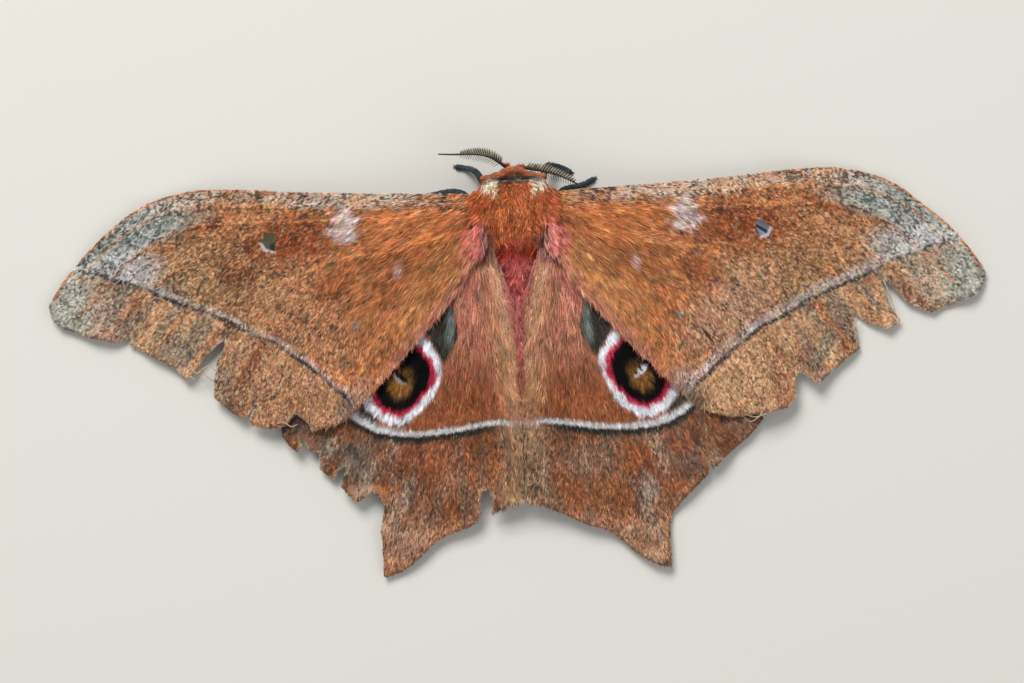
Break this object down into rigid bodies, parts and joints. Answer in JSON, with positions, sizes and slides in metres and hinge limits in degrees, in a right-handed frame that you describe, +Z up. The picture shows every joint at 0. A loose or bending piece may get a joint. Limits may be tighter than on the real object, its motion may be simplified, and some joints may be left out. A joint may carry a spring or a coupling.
{
  "type": "imbrasia epimethea moth",
  "caption": "Emperor moth at rest with worn wings spread flat, furry body, feathered feelers and ringed hindwing spots.",
  "frame": {"origin": "middle of the floor rectangle under the moth, at foot level", "axes": "+X to the moth's right wing tip, +Y toward the head, +Z up from the surface it rests on"},
  "size_m": [0.13, 0.0587, 0.0116],
  "materials": {
    "forewing_scales": "matt scale-covered membrane, orange brown with grey speckles",
    "hindwing_scales": "matt scale-covered membrane, brick brown with a ringed spot",
    "thorax_fur": "dense orange fur",
    "abdomen_fur": "dense crimson and dark fur",
    "collar_fur": "short orange fur",
    "head_fur": "short brown and grey fur",
    "eye_lens": "glossy near-black",
    "feeler_horn": "dark horn with tan side branches",
    "leg_scales": "dark slate"
  },
  "bodies": {
    "root": {"head": "head_fur", "eye_left": "eye_lens", "eye_right": "eye_lens", "antenna_left": "feeler_horn", "antenna_right": "feeler_horn", "collar": "collar_fur", "thorax": "thorax_fur", "abdomen": "abdomen_fur", "forewing_left": "forewing_scales", "forewing_right": "forewing_scales", "hindwing_left": "hindwing_scales", "hindwing_right": "hindwing_scales", "leg_front_left": "leg_scales", "leg_front_right": "leg_scales", "leg_mid_left": "leg_scales", "leg_mid_right": "leg_scales", "leg_hind_left": "leg_scales", "leg_hind_right": "leg_scales"}
  },
  "joints": []
}
